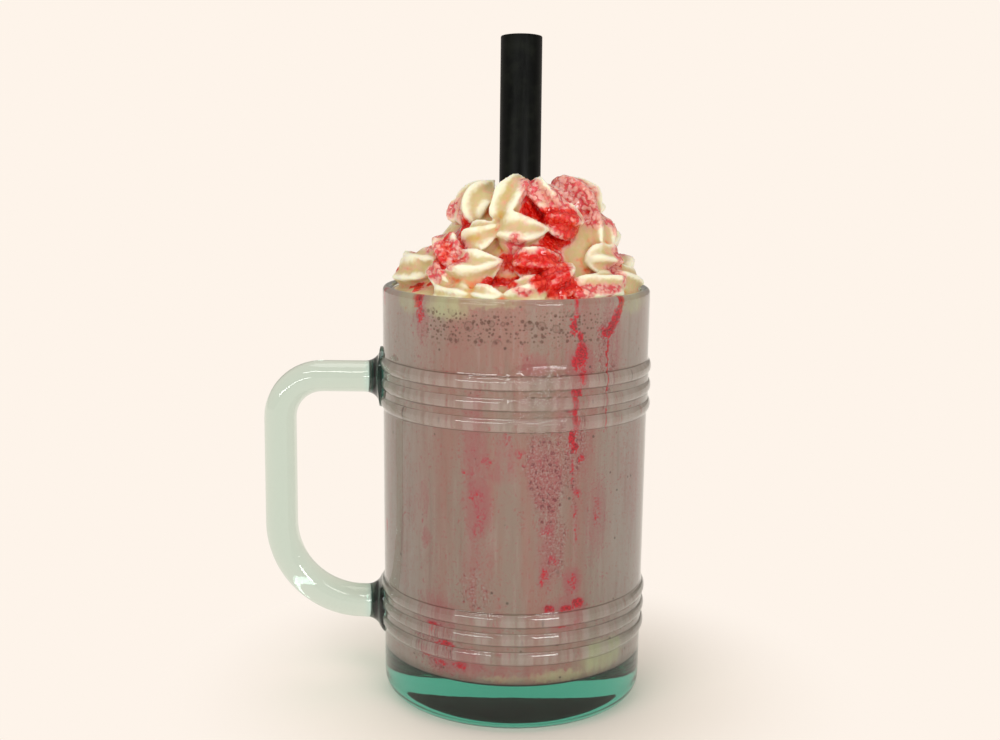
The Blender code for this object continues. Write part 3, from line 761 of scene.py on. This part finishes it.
floor_z = INNER_FLOOR - INTO_WALL
corner = (inner_radius(floor_z) + INTO_WALL - INNER_CORNER, floor_z + INNER_CORNER)
profile = [(0.0, floor_z), *arc(corner, INNER_CORNER, -90, 0, 8)]
profile += [
    (inner_radius(FILM_TOP) + INTO_WALL, FILM_TOP), (inner_radius(FILM_TOP) - FILM_TIP, FILM_TOP),
    (inner_radius(SHAKE_LEVEL) - FILM_FOOT, SHAKE_LEVEL), (0.0, SHAKE_LEVEL),
]
shake = settle(turned(profile, SHAKE_SEGMENTS), "shake", milkshake, sharp=50)
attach(shake, "root")
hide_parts("milkshake")


# The whipped cream is piped from a star nozzle in short curls, laid one on another into a mound round
# the straw. Red sauce was poured over it: it lies thick in the hollows, froths the cream pink where it
# has run, and leaves the outer curls clean. The curls are fused, softened and pressed to the glass.

MOUND = (
    (0.1200, 0.0365), (0.1260, 0.0360), (0.1300, 0.0330), (0.1340, 0.0305), (0.1380, 0.0280),
    (0.1420, 0.0255), (0.1460, 0.0230), (0.1500, 0.0205), (0.1530, 0.0175), (0.1570, 0.0110),
)
MOUND_LEAN_FROM = 0.1330
MOUND_LEAN = 0.0028
MOUND_TOP = 0.1530
CORE_BASE = 0.1200
CORE_INSET = 0.0050
CORE_TOP = 0.1530
CORE_SEGMENTS = 112
CORE_FOLD_FROM = 0.1290
CORE_FOLDS = 7
CORE_FOLD_DEPTH = 0.07
CORE_FOLD_TWIST = 130
NOZZLE_TEETH = 5
TOOTH_RISE = 0.14
GROOVE_DEPTH = 0.26
CURL_TWIST = math.radians(50)
CURL_PHASE = 0.7
CURL_SINKS = (0.9, 0.55, 0.4)
CURL_CLIMB = 0.84
CURL_LIFT = 0.3
TIP_LENGTH = 1.5
TIP_SHARPNESS = 1.6
CREAM_VOXEL = 0.00051
ROPE_UNEVEN = 0.16
ROPE_WAVES = 160

# The splashes' outlines wander in waves of this size, by this much. The sauce stands this high, its foam
# in lumps, with finer lumps all over, and it keeps clear of the straw. All in metres
SPLASH_WAVE, SPLASH_WANDER = 0.0035, 0.0016
LUMP_WAVE, FINE_WAVE = 0.0016, 0.0009
SAUCE_HIGH = 0.00035
FOAM_LUMPS = 0.00045
FINE_LUMPS = 0.00018
STRAW_MARGIN = 0.001

# A hollow is where smoothing lifts the surface: rounds of smoothing, and the lift in mm of a full hollow
HOLLOW_SCALES = ((10, 0.25), (90, 1.2))

# Curls of the front: angle round the mug in degrees, height in mm, heading in degrees (0 runs round the
# mound and 90 up it), length in mm and rope radius in mm
FRONT_CURLS = (
    (214, 150.0, 120, 17, 5.8),
    (200, 147.5, 130, 11, 3.1),
    (254, 151.0, 92, 17, 5.8),
    (291, 151.0, -40, 14, 4.4),
    (340, 150.0, -60, 15, 5.8),
    (305, 145.0, 0, 15, 4.9),
    (337, 140.0, -105, 17, 5.6),
    (333, 134.0, 0, 18, 4.4),
    (242, 141.0, 40, 13, 5.3),
    (271, 142.0, 10, 17, 6.1),
    (222, 136.0, 150, 19, 5.1),
    (226, 130.0, 150, 13, 3.4),
    (246, 131.5, 25, 19, 6.9),
    (194, 128.5, 195, 21, 4.9),
    (202, 132.5, 190, 19, 3.9),
    (239, 125.0, 5, 15, 3.3),
    (256, 125.5, 5, 10, 3.1),
    (275, 126.5, 30, 16, 4.3),
    (281, 134.5, 10, 15, 4.3),
    (293, 129.5, 45, 15, 4.5),
    (315, 126.5, 5, 24, 4.9),
    (348, 127.0, -12, 22, 4.1),
)
BACK_RINGS = (
    {"first": 16, "step": 30, "count": 6, "height": 128.0, "heading": 25, "length": 23, "rope": 7.2},
    {"first": 8, "step": 36, "count": 4, "height": 138.5, "heading": 30, "length": 22, "rope": 7.0},
    {"first": 20, "step": 60, "count": 3, "height": 149.0, "heading": 40, "length": 17, "rope": 6.4},
)
BACK_UNEVEN = 0.3
UNEVEN_TURN = 20
UNEVEN_HEIGHT = 6
UNEVEN_HEADING = 120
LIP_CLEARANCE = 0.0003

# Sauce on the cream: angle and height of each splash, its half width and half height in mm, how thick
# it lies, and how far it is frothed into the cream, from 0 for clear red to 1 for pink foam
SPLASHES = (
    (274, 148.5, 3.0, 2.6, 1.0, 0.2), (288, 147.0, 4.0, 2.6, 1.0, 0.1), (300, 145.0, 4.5, 4.0, 1.0, 0.3),
    (305, 141.5, 4.0, 3.6, 1.0, 0.3), (293, 139.5, 4.0, 2.4, 1.0, 0.2), (272, 153.0, 3.4, 4.0, 0.8, 0.8),
    (296, 151.5, 4.2, 3.4, 0.7, 0.9), (322, 153.0, 7.5, 5.2, 0.75, 1.1), (326, 147.5, 4.6, 3.4, 0.8, 0.8),
    (270, 134.5, 5.0, 3.0, 1.0, 0.3), (284, 134.5, 4.6, 4.0, 1.0, 0.3), (294, 136.5, 4.0, 4.0, 0.9, 0.5),
    (281, 129.5, 3.6, 2.6, 1.0, 0.1), (291, 129.0, 4.0, 4.2, 1.0, 0.1), (296, 127.0, 3.4, 3.4, 0.9, 0.4),
    (267, 138.4, 3.2, 3.4, 0.7, 1.0), (209, 139.5, 4.0, 3.4, 0.8, 0.8), (226, 137.0, 5.0, 2.6, 0.9, 0.6),
    (238, 134.4, 3.4, 1.6, 0.7, 0.4), (226, 134.0, 3.4, 1.8, 1.0, 0.1), (228, 131.2, 3.2, 2.6, 0.8, 0.7),
    (205, 148.3, 2.4, 3.0, 0.7, 0.8), (222, 143.0, 1.2, 4.0, 1.0, 0.1), (216, 147.0, 1.2, 2.6, 0.7, 0.5),
    (255, 128.9, 2.4, 1.0, 1.0, 0.0), (263, 128.8, 4.6, 1.0, 1.0, 0.1), (190, 129.9, 1.3, 0.9, 1.0, 0.0),
    (207, 125.7, 3.6, 0.7, 0.9, 0.1), (219, 127.2, 3.0, 0.9, 1.0, 0.1), (220, 130.5, 2.0, 1.4, 0.6, 0.0),
    (302, 126.6, 3.0, 1.8, 0.7, 0.9), (315, 126.5, 5.0, 1.6, 0.75, 0.9), (330, 129.5, 3.2, 3.6, 0.7, 1.0),
    (345, 143.0, 3.6, 4.0, 0.7, 1.0), (335, 135.0, 2.6, 3.2, 0.7, 1.0), (271, 127.0, 3.0, 1.2, 0.8, 0.5),
    (30, 150.0, 5.0, 5.0, 0.8, 0.6), (62, 144.0, 3.0, 7.0, 0.8, 0.4), (95, 147.0, 4.0, 5.0, 0.7, 0.7),
    (120, 136.0, 3.0, 8.0, 0.8, 0.3), (150, 145.0, 4.0, 4.0, 0.7, 0.8), (20, 133.0, 4.0, 4.0, 0.7, 0.6),
    (160, 131.0, 4.0, 3.0, 0.7, 0.5), (80, 128.0, 4.0, 2.0, 0.7, 0.4), (50, 156.0, 6.0, 3.0, 0.7, 0.8),
)
# Spots of painted shade, a deep yellow, in the cream's pits, listed as the splashes are
YELLOW_PIT_SHADE = (
    (255, 147.0, 1.8, 1.3, 1.0, 0.0), (259, 137.6, 2.2, 1.4, 1.0, 0.0), (244, 143.0, 1.2, 0.9, 0.8, 0.0),
    (306, 132.2, 1.4, 1.4, 1.0, 0.0), (306, 137.0, 1.2, 4.0, 0.5, 0.0), (268, 148.0, 1.4, 1.0, 0.9, 0.0),
    (240, 140.6, 2.2, 1.6, 0.9, 0.0), (219, 131.0, 2.2, 2.0, 0.8, 0.0), (285, 128.6, 1.6, 2.6, 0.8, 0.0),
    (253, 152.6, 2.0, 2.6, 0.5, 0.0), (248, 126.8, 1.2, 1.4, 0.7, 0.0),
)


def mound_radius(z):
    """Radius of the mound at a height, read between the points of its outline."""
    heights, radii = zip(*MOUND)
    return np.interp(z, heights, radii)


def mound_middle(z):
    """How far the mound's middle leans towards +X at a height."""
    return MOUND_LEAN * np.clip((z - MOUND_LEAN_FROM) / (MOUND_TOP - MOUND_LEAN_FROM), 0.0, 1.0)


def mound_point(angle, z, sink):
    """A point this deep under the mound's surface, at an angle in radians and a height."""
    reach = mound_radius(z) - sink
    return Vector((mound_middle(z) + reach * math.cos(angle), reach * math.sin(angle), z))


def curl_line(angle, height, heading, length, rope):
    """Start, middle and end of a curl: it rises out of the mound, arches over it and ends in a tip."""
    points = []
    for step, sink in zip((-1, 0, 1), CURL_SINKS):
        along = step * length / 2
        turn = along * math.cos(heading) / mound_radius(height)
        z = height + along * math.sin(heading) * CURL_CLIMB
        points.append(mound_point(angle + turn, z, sink * rope))
    return points


def through(points, t):
    """A point on the smooth curve through three points, with t from 0 to 1."""
    first, middle, last = points
    pull = 2 * middle - (first + last) / 2
    return first * (1 - t) ** 2 + pull * 2 * t * (1 - t) + last * t**2


def pipe_curl(bm, points, rope, phase):
    """One curl: a ball whose poles are drawn out along its line and whose sides take the nozzle's star."""
    length = sum((points[i + 1] - points[i]).length for i in range(2))
    ball = bmesh.ops.create_uvsphere(bm, u_segments=8 * NOZZLE_TEETH, v_segments=28, radius=1.0)
    frames = {}
    for vert in ball["verts"]:
        t = math.acos(max(min(-vert.co.z, 1.0), -1.0)) / math.pi
        key = round(t, 4)
        if key not in frames:
            centre = through(points, t)
            along = (through(points, min(t + 0.02, 1)) - through(points, max(t - 0.02, 0))).normalized()
            outward = Vector((centre.x, centre.y, CURL_LIFT * centre.xy.length)).normalized()
            side = along.cross(outward).normalized()
            start = 1 - min(t * length / rope, 1.0)
            end = 1 - min((1 - t) * length / (TIP_LENGTH * rope), 1.0)
            swell = math.sqrt(1 - start**2) * (1 - end**TIP_SHARPNESS)
            frames[key] = centre, side, side.cross(along), rope * swell
        centre, side, up, reach = frames[key]
        around = math.atan2(vert.co.y, vert.co.x)
        star = 1 + TOOTH_RISE - (TOOTH_RISE + GROOVE_DEPTH) * abs(math.sin(NOZZLE_TEETH * around / 2))
        turned_to = around + phase + CURL_TWIST * t
        ray = up * math.cos(turned_to) + side * math.sin(turned_to)
        wander = 1 + ROPE_UNEVEN * noise.noise((centre + ray * rope) * ROPE_WAVES)
        vert.co = centre + ray * reach * star * wander


def all_curls():
    """Angle, height, heading, length and rope radius of every curl, in radians and metres."""
    curls = list(FRONT_CURLS)
    for ring in BACK_RINGS:
        for i in range(ring["count"]):
            angle = ring["first"] + i * ring["step"]
            uneven = BACK_UNEVEN * noise.noise(Vector((angle * 0.11, ring["height"], 0.4)))
            curls.append((
                angle + UNEVEN_TURN * uneven, ring["height"] + UNEVEN_HEIGHT * uneven,
                ring["heading"] + UNEVEN_HEADING * uneven,
                ring["length"] * (1 - uneven), ring["rope"] * (1 + uneven),
            ))
    return [
        (math.radians(angle), height / 1000, math.radians(heading), length / 1000, rope / 1000)
        for angle, height, heading, length, rope in curls
    ]


def spread(values, edges, rounds):
    """Values at the vertices, each averaged with its neighbours' over and over."""
    count = len(values)
    ends = np.concatenate([edges, edges[:, ::-1]])
    near = np.maximum(np.bincount(ends[:, 0], minlength=count), 1)
    values = values.reshape(count, -1).copy()
    for _ in range(rounds):
        for k in range(values.shape[1]):
            total = np.bincount(ends[:, 0], weights=values[ends[:, 1], k], minlength=count)
            values[:, k] = 0.5 * values[:, k] + 0.5 * total / near
    return values


def splashed(points, splashes):
    """How thick the splashes lie at each point, and how frothy they are there."""
    angle = np.arctan2(points[:, 1], points[:, 0] - mound_middle(points[:, 2]))
    reach = np.maximum(np.hypot(points[:, 0], points[:, 1]), 0.012) * 1000
    thick = np.zeros(len(points))
    froth = np.zeros(len(points))
    weight = np.full(len(points), 1e-6)
    for at, height, half_width, half_height, amount, foam in splashes:
        off = (angle - math.radians(at) + math.pi) % math.tau - math.pi
        far = np.hypot(off * reach / half_width, (points[:, 2] * 1000 - height) / half_height)
        share = np.clip(1.5 - far, 0.0, 1.0)
        share = share * share * (3 - 2 * share) * amount
        thick = np.maximum(thick, share)
        froth += share * foam
        weight += share
    return thick, froth / weight


def wandering(points, wave, seed):
    """Smooth noise from -1 to 1 at each point, its waves this many metres wide."""
    shift = Vector((seed, seed * 1.7, seed * 2.3))
    return np.array([noise.noise(Vector(p) / wave + shift) for p in points])


bm = turned(
    [
        (0.0, CORE_BASE), (RIM_RADIUS, CORE_BASE), (RIM_RADIUS, SHAKE_LEVEL),
        *((radius - CORE_INSET, z) for z, radius in MOUND[1:-1]), (0.0, CORE_TOP),
    ],
    CORE_SEGMENTS,
)
bmesh.ops.remove_doubles(bm, verts=bm.verts[:], dist=1e-6)
for vert in bm.verts:
    if vert.co.z > CORE_FOLD_FROM:
        angle = math.atan2(vert.co.y, vert.co.x)
        swell = 1 + CORE_FOLD_DEPTH * math.sin(CORE_FOLDS * angle + CORE_FOLD_TWIST * vert.co.z)
        vert.co.x = vert.co.x * swell + mound_middle(vert.co.z)
        vert.co.y *= swell
for number, (*put, rope) in enumerate(all_curls()):
    pipe_curl(bm, curl_line(*put, rope), rope, number * CURL_PHASE)
cream = settle(bm, "piped_cream", None)
remesh = cream.modifiers.new("fuse", "REMESH")
remesh.mode = "VOXEL"
remesh.voxel_size = CREAM_VOXEL
soften = cream.modifiers.new("soften", "SMOOTH")
soften.factor = 0.5
soften.iterations = 2
apply_modifiers(cream)
bm = bmesh.new()
bmesh.ops.create_cone(
    bm, cap_ends=True, segments=STRAW_SEGMENTS,
    radius1=STRAW_RADIUS, radius2=STRAW_RADIUS, depth=straw_length,
)
bmesh.ops.transform(
    bm, matrix=straw_frame() @ Matrix.Translation((0, 0, straw_length / 2)), verts=bm.verts[:],
)
boolean(cream, "DIFFERENCE", settle(bm, "straw_room", None), "MANIFOLD")

mesh = cream.data
count = len(mesh.vertices)
points = np.empty(count * 3)
mesh.vertices.foreach_get("co", points)
points = points.reshape(-1, 3)
edges = np.empty(len(mesh.edges) * 2, dtype=np.int32)
mesh.edges.foreach_get("vertices", edges)
edges = edges.reshape(-1, 2)
normals = np.empty(count * 3)
mesh.vertices.foreach_get("normal", normals)
normals = normals.reshape(-1, 3)

wobble = np.stack([wandering(points, SPLASH_WAVE, seed) for seed in (1, 2, 3)], 1) * SPLASH_WANDER
thick, froth = splashed(points + wobble, SPLASHES)
lumps = wandering(points, LUMP_WAVE, 5)
small_lumps = wandering(points, FINE_WAVE, 9)
lift = SAUCE_HIGH * thick + FOAM_LUMPS * thick * froth * lumps + FINE_LUMPS * (0.3 + thick) * small_lumps
from_straw = np.hypot(points[:, 0] - STRAW_X, points[:, 1] - STRAW_Y_AT_CREAM)
lift[from_straw < STRAW_RADIUS + STRAW_MARGIN] = 0.0
points = points + normals * lift[:, None]

rim_reach = lip_radius + LIP_CLEARANCE
over = np.clip((points[:, 2] - lip_centre[1]) / rim_reach, 0.0, 1.0)
limit = np.where(
    points[:, 2] < lip_centre[1], inner_radius(points[:, 2]) - LIP_CLEARANCE,
    lip_centre[0] - rim_reach * np.sqrt(1 - over**2),
)
limit[points[:, 2] > lip_centre[1] + rim_reach] = 1.0
across = np.hypot(points[:, 0], points[:, 1])
shrink = np.minimum(1.0, limit / np.maximum(across, 1e-6))
points[:, 0] *= shrink
points[:, 1] *= shrink
mesh.vertices.foreach_set("co", points.ravel())
mesh.update()

hollow = np.zeros(count)
for rounds, full in HOLLOW_SCALES:
    lifted = np.einsum("ij,ij->i", spread(points, edges, rounds) - points, normals) * 1000
    hollow += np.clip(lifted / full, -1, 1) / len(HOLLOW_SCALES)
pit_shade_amounts, _ = splashed(points + 0.5 * wobble, YELLOW_PIT_SHADE)
for name, values in (("sauce", thick), ("froth", froth), ("hollow", hollow), ("pit_shade", pit_shade_amounts)):
    mesh.attributes.new(name, "FLOAT", "POINT").data.foreach_set("value", values)

# Painted highlight on the cream's ridges, and painted shade in its creases
CREAM_RIDGE_HIGHLIGHT = screen(238, 234, 210)
CREAM_BODY = screen(202, 186, 132)
CREAM_CREASE_SHADE = screen(188, 156, 66)
CREAM_PIT_SHADE = screen(196, 164, 8)
FOAM_PALE = screen(232, 168, 156)
FOAM_PINK = screen(218, 78, 84)
FOAM_RED = screen(226, 66, 44)
SAUCE_RED = screen(214, 18, 6)
SAUCE_DEEP = screen(172, 2, 4)
SAUCE_THIN = screen(230, 116, 36)

whipped, tree, shader = new_material("whipped_cream")
place = add(tree, "ShaderNodeTexCoord").outputs["Object"]
millimetres = add(tree, "ShaderNodeVectorMath", {0: place, 3: 1000.0}, operation="SCALE").outputs[0]
sauce, froth, hollow, pit_shade = (
    add(tree, "ShaderNodeAttribute", attribute_name=name).outputs["Fac"]
    for name in ("sauce", "froth", "hollow", "pit_shade")
)
soft = grain(tree, millimetres, 4.0, 1.0, 2.0, 2.0)
foam = grain(tree, millimetres, 1.5, 1.0, 2.0, 5.0)
speckle = grain(tree, millimetres, 0.5, 1.0, 2.0, 8.0)
stir = add(tree, "ShaderNodeTexNoise", {"Vector": millimetres, "Scale": 0.7, "Detail": 2.0})
stirred = add(
    tree, "ShaderNodeVectorMath", {0: stir.outputs["Color"], 1: (1.6, 1.6, 1.6), 2: millimetres},
    operation="MULTIPLY_ADD",
).outputs[0]
cells = add(
    tree, "ShaderNodeTexVoronoi", {"Vector": stirred, "Scale": 0.68, "Smoothness": 0.25},
    feature="SMOOTH_F1",
).outputs["Distance"]
walls = ease(tree, nudged(tree, cells, speckle, 0.12), 0.38, 0.72)

depth = nudged(tree, hollow, soft, 0.3)
# Painted highlight on the ridges, then painted shade, darker and yellower, in the creases
colour = tint(tree, ease(tree, depth, 0.10, -0.50), CREAM_BODY, CREAM_RIDGE_HIGHLIGHT)
colour = tint(tree, ease(tree, depth, 0.20, 1.0, 0.0, 0.8), colour, CREAM_CREASE_SHADE)
# Painted shade: deep yellow spots in the cream's pits
pit_shade_share = product(
    tree, ease(tree, nudged(tree, pit_shade, soft, 0.3), 0.10, 0.9), ease(tree, depth, -0.25, 0.45, 0.25, 1.0),
)
colour = tint(tree, pit_shade_share, colour, CREAM_PIT_SHADE)

amount = nudged(tree, nudged(tree, sauce, foam, 0.30), soft, 0.25)
amount = calc(tree, "ADD", amount, product(tree, hollow, 0.25))
cover = ease(tree, amount, 0.12, 0.66)
seep = ease(tree, amount, -0.12, 0.34)
colour = tint(tree, product(tree, seep, 0.65), colour, FOAM_PALE)
thin = product(tree, seep, ease(tree, hollow, 0.05, 0.6), ease(tree, soft, 0.42, 0.6))
colour = tint(tree, product(tree, thin, 0.8), colour, SAUCE_THIN)

strength = calc(tree, "SUBTRACT", sauce, product(tree, froth, 0.85))
strength = nudged(tree, nudged(tree, strength, foam, 0.30), soft, 0.35)
strength = calc(tree, "ADD", strength, product(tree, hollow, 0.45))
pink_foam = tint(tree, walls, FOAM_PALE, FOAM_PINK)
red_foam = tint(tree, ease(tree, walls, 0.0, 0.8), FOAM_RED, SAUCE_RED)
syrup = tint(tree, ease(tree, nudged(tree, strength, speckle, 0.3), 0.7, 1.3), SAUCE_RED, SAUCE_DEEP)
red = tint(tree, ease(tree, strength, 0.12, 0.50), pink_foam, red_foam)
red = tint(tree, ease(tree, strength, 0.50, 0.90), red, syrup)
colour = tint(tree, cover, colour, red)
tree.links.new(colour, shader.inputs["Base Color"])
tree.links.new(ease(tree, cover, 0.0, 1.0, 0.42, 0.18), shader.inputs["Roughness"])
tree.links.new(product(tree, cover, 0.5), shader.inputs["Coat Weight"])
relief = calc(tree, "ADD", product(tree, walls, -0.8), product(tree, speckle, 0.10))
relief = product(tree, relief, ease(tree, amount, 0.1, 0.5, 0.04, 1.0))
relief = calc(tree, "ADD", relief, product(tree, foam, 0.15))
bump = add(tree, "ShaderNodeBump", {"Height": relief, "Strength": 0.9, "Distance": 0.0006})
tree.links.new(bump.outputs["Normal"], shader.inputs["Normal"])
shader.inputs["Specular IOR Level"].default_value = 0.25
shader.inputs["Coat Roughness"].default_value = 0.05
shader.inputs["Subsurface Weight"].default_value = 0.6
shader.inputs["Subsurface Radius"].default_value = (1.0, 0.75, 0.35)
shader.inputs["Subsurface Scale"].default_value = 0.0024

mesh.materials.clear()
mesh.materials.append(whipped)
mesh.shade_smooth()
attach(cream, "root")
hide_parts("whipped_cream")
